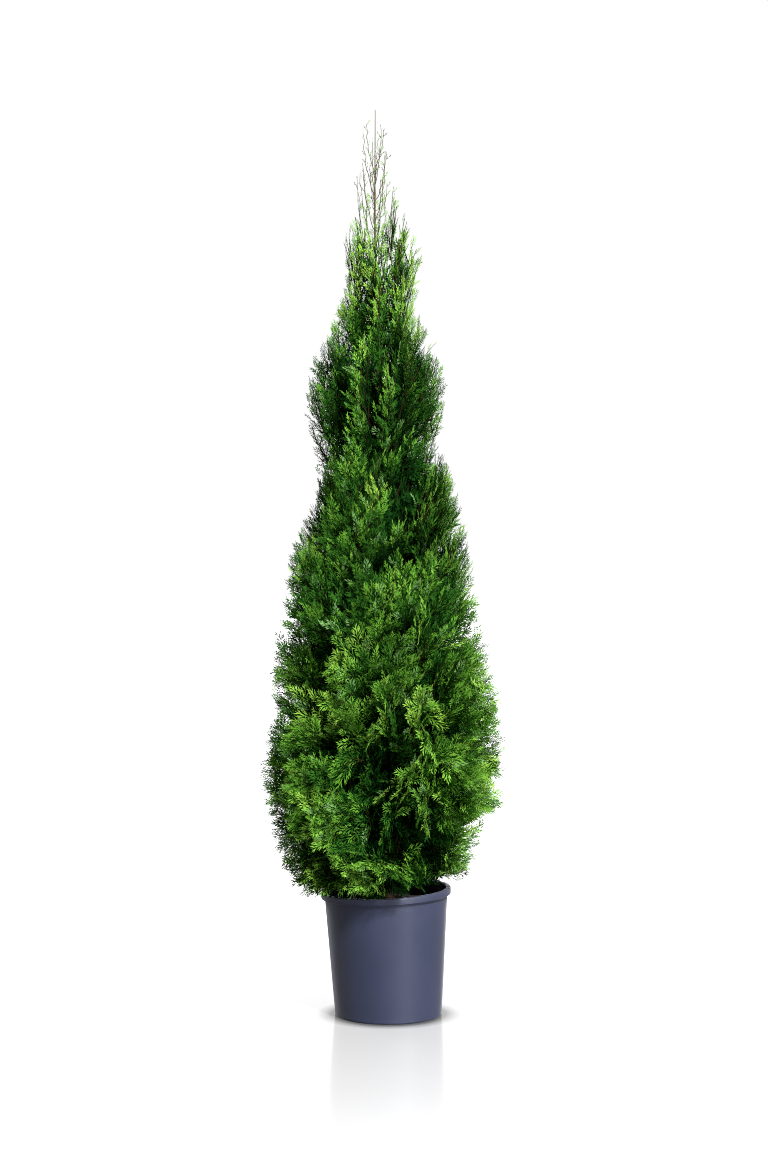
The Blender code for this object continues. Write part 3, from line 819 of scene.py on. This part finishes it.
def hand_over(tier, members, leaves, wood, materials):
    """Builds a tier's two pieces in place of its foliage solids."""
    nodes = [f"foliage_{tier.name}_{m.number}" for m in members]
    for bundle, name in ((leaves, f"sprays_{tier.name}"), (wood, f"twigs_{tier.name}")):
        piece = bundle.build(name, materials)
        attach(piece, "root")
        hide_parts(*nodes)


def dress_tier(tier, members, materials):
    rng = np.random.default_rng(7000 + members[0].level)
    leaves, wood = Bundle(), Bundle()
    for mass in members:
        path, sprays, twigs = grow_mass(mass, rng)
        add_sprays(leaves, rng, sprays)
        stem = along(path, STEM_POINTS, 1.0 if tier.bough else 0.8)
        radii = np.linspace(*STEM_RADII, STEM_POINTS) * (1.0 if tier.bough else 0.55)
        add_twig(wood, stem, radii, TWIG_OLD, 6)
        for line, radii, inner in twigs:
            half = len(line) // 2
            bark = TWIG_OLD if rng.random() < 0.6 else TWIG_RED
            add_twig(wood, line[: half + 1], radii[: half + 1], bark)
            bark = TWIG_RED if inner or rng.random() < 0.3 else TWIG_GREEN
            add_twig(wood, line[half:], radii[half:], bark)
    hand_over(tier, members, leaves, wood, materials)


# ---- the leader: near-bare whips round the trunk's tip
WHIPS = 22
WHIP_STARTS = (1.560, 1.900)
WHIP_RISES = (0.250, 0.090)
WHIP_TOP = 1.985
WHIP_POINTS = 12
WHIP_RADII = (0.0012, 0.0005)
WHIP_PAST_OUTLINE = 0.006
GOLDEN_ANGLE = 2.39996
BARE_ABOVE = 1.815
BARE_RHO = 0.022
SMALLER_ABOVE, SMALLER = 1.74, 0.75
WHIP_LEAFLESS = 0.30


def whip_sprays(rng, curve, sprays):
    """Sprays along a whip: green ones low down and away from the trunk, tiny sparse ones elsewhere."""
    side = 1.0
    s = WHIP_LEAFLESS
    while s < 1.0:
        side = -side
        base = bezier(curve, s)
        bare = base[2] > BARE_ABOVE or math.hypot(*off_axis(base)) < BARE_RHO
        ahead = unit(bezier(curve, min(1.0, s + 0.03)) - bezier(curve, s - 0.03))
        plane = unit(np.cross(ahead, rng.normal(0.0, 1.0, 3)))
        angle = math.radians(rng.uniform(24.0, 42.0))
        x = unit(ahead * math.cos(angle) + side * math.sin(angle) * np.cross(plane, ahead))
        z = unit(plane - x * (plane @ x))
        if bare:
            size = rng.uniform(0.008, 0.018)
            tone = SPENT if rng.random() < 0.45 else FRESH
            sprays.append(Spray(WISP, base, x, z, size, 0.0, tone))
            s += rng.uniform(0.06, 0.11)
        else:
            size = rng.uniform(0.022, 0.034) * (1.0 if base[2] < SMALLER_ABOVE else SMALLER)
            tone = YOUNG if rng.random() < 0.35 else FRESH
            kind = SLIM if rng.random() < 0.6 else FULL
            sprays.append(Spray(kind, base, x, z, size, 0.05, tone))
            s += rng.uniform(0.035, 0.055)


def dress_leader(tier, members, materials):
    rng = np.random.default_rng(41)
    leaves, wood = Bundle(), Bundle()
    sprays = []
    for k in range(WHIPS):
        share = (k + 0.5) / WHIPS
        z0 = lerp(*WHIP_STARTS, share)
        angle = GOLDEN_ANGLE * k + rng.uniform(-0.35, 0.35)
        out = np.array((math.cos(angle), math.sin(angle), 0.0))
        start = trunk_point(z0)
        rise = lerp(*WHIP_RISES, share) * rng.uniform(0.8, 1.15)
        end = axis_point(min(z0 + rise, WHIP_TOP))
        reach = outline_radius(end[2]) + WHIP_PAST_OUTLINE
        end = end + out * reach * rng.uniform(0.65, 1.15)
        away = np.linalg.norm((end - start)[:2])
        curve = (start, start + out * 0.75 * away + UP * 0.30 * rise, end)
        line = along(curve, WHIP_POINTS)
        line[1:-1] += rng.normal(0.0, 0.0012, (WHIP_POINTS - 2, 3))
        add_twig(wood, line, np.linspace(*WHIP_RADII, WHIP_POINTS), TWIG_GREY)
        whip_sprays(rng, curve, sprays)
    add_sprays(leaves, rng, sprays)
    hand_over(tier, members, leaves, wood, materials)


# ---- the trunk and boughs, with the bark's relief
RIDGES, RIDGE_LENGTHS = 3.2, 9.0  # how fine the relief is round a limb, and up it
RIDGE_LEVEL, RIDGE_HEIGHT = 0.97, 0.11  # of a limb's radius
BARK_START = 0.004  # how far the trunk's bark starts below the soil's level
STRAIGHT_FOOT = 0.012  # the trunk leans and bends only further above the soil
FLARE_LENGTH = 0.08
FLARE_RINGS, TRUNK_RINGS, TRUNK_SIDES = 24, 300, 20
SLIM_HEIGHTS, SLIM_SHARES = (1.45, 1.72, 1.86), (1.0, 0.62, 0.52)
BOUGH_RINGS, BOUGH_SIDES = 26, 12


def bark_material():
    """Stringy brown bark, greener towards the tip."""
    made, tree, shader, place = shader_of("stringy_bark")
    stretch = fed(tree, "ShaderNodeMapping", {"Vector": place, "Scale": (260.0, 260.0, 14.0)})
    fibre = noise_of(tree, stretch.outputs["Vector"], 1.0, Detail=6.0, Roughness=0.65)
    brown = ramp_between(tree, fibre, 0.30, (0.030, 0.016, 0.010), 0.72, (0.235, 0.125, 0.070))
    up = fed(tree, "ShaderNodeSeparateXYZ", {"Vector": place}).outputs["Z"]
    height = fed(tree, "ShaderNodeMapRange", {"Value": up, "From Min": 1.55, "From Max": 1.95})
    blend = {"Factor": height.outputs["Result"], "A": brown, "B": (0.090, 0.080, 0.036, 1.0)}
    colour = fed(tree, "ShaderNodeMix", blend, data_type="RGBA").outputs["Result"]
    normal = relief(tree, fibre, Strength=0.8, Distance=0.0015)
    feed(tree, shader, {"Base Color": colour, "Roughness": 0.85, "Normal": normal})
    return made


def ridged(points, radii, sides, seed):
    """A limb whose surface has long shallow ridges of bark."""
    verts, faces = tube(points, radii, sides)
    rings = verts.reshape(len(points), sides, 3)
    for ring, centre in zip(rings, points):
        for j, vert in enumerate(ring):
            angle = 2.0 * math.pi * j / sides
            round_x, round_y = RIDGES * math.cos(angle) + seed, RIDGES * math.sin(angle)
            spot = Vector((round_x, round_y, RIDGE_LENGTHS * centre[2]))
            ring[j] = centre + (vert - centre) * (RIDGE_LEVEL + RIDGE_HEIGHT * noise.noise(spot))
    return rings.reshape(-1, 3), faces


def dress_trunk(bark):
    start = SOIL_LEVEL - BARK_START
    above = start + FLARE_LENGTH
    flare = np.linspace(start, above, FLARE_RINGS)[:-1]
    heights = np.concatenate((flare, np.linspace(above, TREE_TIP, TRUNK_RINGS)))
    points = np.array([trunk_point(max(z, SOIL_LEVEL + STRAIGHT_FOOT)) for z in heights])
    points[:, 2] = heights
    radii = np.interp(heights, SLIM_HEIGHTS, SLIM_SHARES) * trunk_radius(np.maximum(heights, SOIL_LEVEL))
    trunk = Bundle()
    trunk.add(*ridged(points, radii, TRUNK_SIDES, 0.0), 0)
    piece = trunk.build("bark_trunk", [bark], smooth=True)
    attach(piece, "root")
    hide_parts("trunk")


def dress_boughs(bark):
    limbs = Bundle()
    nodes = []
    for mass in masses():
        if mass.tier.bough:
            slim = lerp(1.0, 0.7, mass.level / len(TIERS))
            line = along(bough_path(mass), BOUGH_RINGS)
            radii = slim * np.linspace(*BOUGH_RADII, BOUGH_RINGS)
            limbs.add(*ridged(line, radii, BOUGH_SIDES, 5.0 * mass.level + mass.number), 0)
            nodes.append(f"bough_{mass.tier.name}_{mass.number}")
    piece = limbs.build("bark_boughs", [bark], smooth=True)
    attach(piece, "root")
    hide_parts(*nodes)


# ---- the pot
AXIS_HOLE = 0.0001  # a turned profile starts and ends this far from its axis
CORNER_STEPS = 6
MOUTH_ROUND = 0.003
WALL_TOP = 0.004  # how far below the rim the wall's inside ends
LIP_ROUND = 0.0028
LIP_EDGE_ROUND = 0.0016
LIP_FILLET = 0.0018
WALL_BREAK = 0.002  # how far below the lip the wall's outside starts
WALL_FOOT = 0.005
FOOT_ROUND = 0.004


def plastic_material():
    """Slate-grey plastic with a soft sheen, a fine grain and faint clouds."""
    made, tree, shader, place = shader_of("slate_plastic")
    cloud = noise_of(tree, place, 9.0, Detail=5.0)
    slate = ramp_between(tree, cloud, 0.35, (0.028, 0.034, 0.070), 0.70, (0.034, 0.040, 0.081))
    normal = relief(tree, noise_of(tree, place, 900.0, Detail=3.0), Strength=0.10, Distance=0.0004)
    feed(tree, shader, {"Base Color": slate, "Roughness": between(tree, cloud, 0.40, 0.54), "Normal": normal})
    feed(tree, shader, {"Specular IOR Level": 0.45, "Sheen Weight": 0.30, "Sheen Roughness": 0.30})
    return made


def corner(centre_r, centre_z, radius, first, last):
    """Points of a rounded corner of a profile, from one angle to another in degrees."""
    angles = np.radians(np.linspace(first, last, CORNER_STEPS))
    return [(centre_r + radius * math.cos(a), centre_z + radius * math.sin(a)) for a in angles]


def straight(start, end, shares):
    """Points of a straight stretch of a profile, at these shares of the way along it."""
    return [(lerp(start[0], end[0], t), lerp(start[1], end[1], t)) for t in shares]


def lathe(profile, steps):
    """A surface turned about Z from points of a radius and a height."""
    radii, heights = np.array(profile).T
    n = len(profile)
    angles = 2.0 * math.pi * np.arange(steps) / steps
    x, y = np.outer(np.cos(angles), radii), np.outer(np.sin(angles), radii)
    points = np.stack((x, y, np.tile(heights, (steps, 1))), -1).reshape(-1, 3)
    i, j = np.meshgrid(np.arange(steps), np.arange(n - 1), indexing="ij")
    a = (i * n + j).ravel()
    b = (((i + 1) % steps) * n + j).ravel()
    faces = np.concatenate((np.stack((a, a + 1, b + 1), 1), np.stack((a, b + 1, b), 1)))
    return points, faces


def dress_pot():
    lip = POT_TOP_RADIUS + LIP_WIDTH
    inside = POT_TOP_RADIUS - POT_WALL
    floor_edge = POT_BASE_RADIUS - 2.0 * POT_WALL
    top = POT_HEIGHT
    under = top - LIP_DEPTH
    profile = [(AXIS_HOLE, POT_FLOOR), (floor_edge, POT_FLOOR)]
    profile += straight((floor_edge, POT_FLOOR), (inside, top - WALL_TOP), np.linspace(0.05, 1.0, 8))
    profile += corner(inside + MOUTH_ROUND, top - MOUTH_ROUND, MOUTH_ROUND, 180.0, 90.0)
    profile += corner(lip - LIP_ROUND, top - LIP_ROUND, LIP_ROUND, 90.0, 0.0)
    profile += corner(lip - LIP_EDGE_ROUND, under + LIP_EDGE_ROUND, LIP_EDGE_ROUND, 0.0, -90.0)
    profile += corner(POT_TOP_RADIUS + LIP_FILLET, under - LIP_FILLET, LIP_FILLET, 90.0, 180.0)
    wall = (POT_TOP_RADIUS, under - WALL_BREAK), (POT_BASE_RADIUS, WALL_FOOT)
    profile += straight(*wall, np.linspace(0.04, 1.0, 16))
    profile += corner(POT_BASE_RADIUS - FOOT_ROUND, FOOT_ROUND, FOOT_ROUND, 0.0, -90.0)
    profile += [(AXIS_HOLE, 0.0)]
    points, faces = lathe(profile, 160)
    share = points[:, 2] / POT_HEIGHT
    points[:, 2] += RIM_TILT * points[:, 0] * share**2
    points[:, 0] += POT_LEAN * points[:, 2]
    pot = Bundle()
    pot.add(points, faces[:, ::-1], 0)
    piece = pot.build("nursery_pot", [plastic_material()], smooth=True)
    piece.data.set_sharp_from_angle(angle=math.radians(50.0))
    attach(piece, "root")
    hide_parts("pot")


# ---- the soil
SOIL_STEPS, SOIL_RINGS = 180, 44
SOIL_EDGE_GAP, SOIL_FOOT_GAP, SOIL_FLOOR_GAP = 0.0035, 0.001, 0.0005
SOIL_SAG = 0.006  # how far its edge lies below its middle
CRUMB_DEPTH = 0.0065  # the crumbs' relief goes down to here
CRUMBS = ((40.0, 0.0045), (130.0, 0.0030))  # how fine each relief is and how high


def soil_material():
    made, tree, shader, place = shader_of("compost")
    crumb = noise_of(tree, place, 160.0, Detail=8.0)
    brown = ramp_between(tree, crumb, 0.35, (0.008, 0.005, 0.004), 0.75, (0.075, 0.048, 0.030))
    normal = relief(tree, crumb, Distance=0.002)
    feed(tree, shader, {"Base Color": brown, "Roughness": 0.95, "Normal": normal})
    return made


def dress_soil():
    edge = POT_TOP_RADIUS - POT_WALL - SOIL_EDGE_GAP
    foot = POT_BASE_RADIUS - 2.0 * POT_WALL - SOIL_FOOT_GAP
    bottom = POT_FLOOR + SOIL_FLOOR_GAP
    profile = [(edge * t, SOIL_LEVEL - SOIL_SAG * t**4) for t in np.linspace(0.001, 1.0, SOIL_RINGS)]
    profile += straight((edge, SOIL_LEVEL - SOIL_SAG), (foot, bottom), (0.03, 0.5, 1.0))
    profile += [(AXIS_HOLE, bottom)]
    points, faces = lathe(profile, SOIL_STEPS)
    points[:, 0] += POT_LEAN * points[:, 2]
    for p in points:
        if p[2] > SOIL_LEVEL - CRUMB_DEPTH:
            spot = Vector((p[0], p[1], 0.3))
            p[2] += sum(height * noise.noise(spot * fineness) for fineness, height in CRUMBS)
    soil = Bundle()
    soil.add(points, faces[:, ::-1], 0)
    piece = soil.build("compost", [soil_material()], smooth=True)
    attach(piece, "root")
    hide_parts("soil")


# ---- the studio
GLOW_REACH = 3.0
# How bright the floor shows the camera at a distance from the middle: dark under the pot as a painted contact
# shadow, white far out.
GLOW_AND_PAINTED_SHADOW = (
    (0.0, 0.03), (0.126, 0.05), (0.142, 0.34), (0.163, 0.60), (0.40, 0.67),
    (0.70, 0.76), (1.00, 0.88), (1.30, 1.0), (3.0, 1.0),
)
Lamp = namedtuple("Lamp", "name place aim size power colour")
LAMPS = (
    Lamp("key", (5.4, -10.5, 10.5), (0.0, 0.0, 0.9), 1.6, 4500.0, (1.0, 0.985, 0.95)),
    Lamp("fill", (4.2, -4.9, 1.3), (0.0, 0.0, 0.6), 1.2, 190.0, (0.98, 0.99, 1.0)),
    Lamp("back", (1.8, 4.4, 3.6), (0.0, 0.0, 1.0), 1.2, 300.0, (1.0, 1.0, 1.0)),
    Lamp("back_left", (-2.8, 3.6, 3.0), (0.0, 0.0, 0.9), 1.2, 230.0, (1.0, 1.0, 1.0)),
)
WHITE = (1.0, 1.0, 1.0, 1.0)
SKY_LIGHT = 0.08  # the white surroundings as a light; the camera and reflections see them in full
CAMERA_PLACE = (-0.010, -5.15, 1.125)
CAMERA_DOWN = 1.65  # how far the camera looks down, in degrees
SENSOR_WIDTH, LENS = 36.0, 71.5


def floor_material():
    """A floor that glows for the camera alone, dark under the pot as a painted contact shadow, with a faint
    reflection of the pot.
    """
    made, tree, shader, place = shader_of("pale_floor")
    centred = fed(tree, "ShaderNodeVectorMath", {0: place, "Scale": 1.0 / GLOW_REACH}, operation="SCALE")
    away = fed(tree, "ShaderNodeVectorMath", {0: centred.outputs["Vector"]}, operation="LENGTH")
    within = fed(tree, "ShaderNodeMath", {0: away.outputs["Value"], 1: 1.0}, operation="MINIMUM")
    glow_and_painted_shadow = tree.nodes.new("ShaderNodeFloatCurve")
    curve = glow_and_painted_shadow.mapping.curves[0]
    curve.points[0].location = (0.0, GLOW_AND_PAINTED_SHADOW[0][1])
    curve.points[1].location = (1.0, GLOW_AND_PAINTED_SHADOW[-1][1])
    for at, level in GLOW_AND_PAINTED_SHADOW[1:-1]:
        curve.points.new(at / GLOW_REACH, level)
    for point in curve.points:
        point.handle_type = "VECTOR"
    glow_and_painted_shadow.mapping.update()
    feed(tree, glow_and_painted_shadow, {"Value": within.outputs["Value"]})
    seen = tree.nodes.new("ShaderNodeLightPath").outputs["Is Camera Ray"]
    shown = fed(tree, "ShaderNodeMath", {0: glow_and_painted_shadow.outputs["Value"], 1: seen}, operation="MULTIPLY")
    feed(tree, shader, {"Base Color": (0.08, 0.08, 0.08, 1.0), "Roughness": 0.12, "Specular IOR Level": 0.40})
    feed(tree, shader, {"Emission Color": WHITE, "Emission Strength": shown.outputs["Value"]})
    return made


def place_lamp(lamp):
    data = bpy.data.lights.new(lamp.name, "AREA")
    data.size = lamp.size
    data.energy = lamp.power
    data.color = lamp.colour
    placed = bpy.data.objects.new(lamp.name, data)
    placed.location = lamp.place
    placed.rotation_euler = (Vector(lamp.aim) - Vector(lamp.place)).to_track_quat("-Z", "Y").to_euler()
    bpy.context.scene.collection.objects.link(placed)
    return placed


def surround():
    """White surroundings, which light the plant only dimly."""
    world = bpy.data.worlds.new("studio")
    bpy.context.scene.world = world
    world.use_nodes = True
    tree = world.node_tree
    seen = tree.nodes.new("ShaderNodeLightPath").outputs
    rays = {0: seen["Is Camera Ray"], 1: seen["Is Glossy Ray"]}
    either = fed(tree, "ShaderNodeMath", rays, operation="MAXIMUM")
    strength = between(tree, either.outputs["Value"], SKY_LIGHT, 1.0)
    feed(tree, tree.nodes["Background"], {"Color": WHITE, "Strength": strength})


def place_camera():
    camera = bpy.data.cameras.new("camera")
    camera.sensor_width = SENSOR_WIDTH
    camera.lens = LENS
    seat = bpy.data.objects.new("camera", camera)
    seat.location = CAMERA_PLACE
    seat.rotation_euler = (math.radians(90.0 - CAMERA_DOWN), 0.0, 0.0)
    bpy.context.scene.collection.objects.link(seat)
    bpy.context.scene.camera = seat


def dress_stage():
    bpy.ops.mesh.primitive_plane_add(size=60.0, location=(0.0, 0.0, 0.0))
    floor = bpy.context.object
    floor.name = "floor"
    floor.data.materials.append(floor_material())
    lights = [place_lamp(lamp) for lamp in LAMPS]
    surround()
    place_camera()
    bpy.context.scene.view_settings.view_transform = "Standard"
    # The next two keep the fine foliage from being smoothed away.
    bpy.context.scene.cycles.filter_width = 1.0
    bpy.context.scene.cycles.denoising_prefilter = "NONE"


def main():
    materials = foliage_materials()
    everyone = list(masses())
    for level, tier in enumerate(TIERS):
        members = [m for m in everyone if m.level == level]
        if tier.branches:
            dress_tier(tier, members, materials)
        else:
            dress_leader(tier, members, materials)
    bark = bark_material()
    dress_trunk(bark)
    dress_boughs(bark)
    dress_pot()
    dress_soil()
    dress_stage()


main()
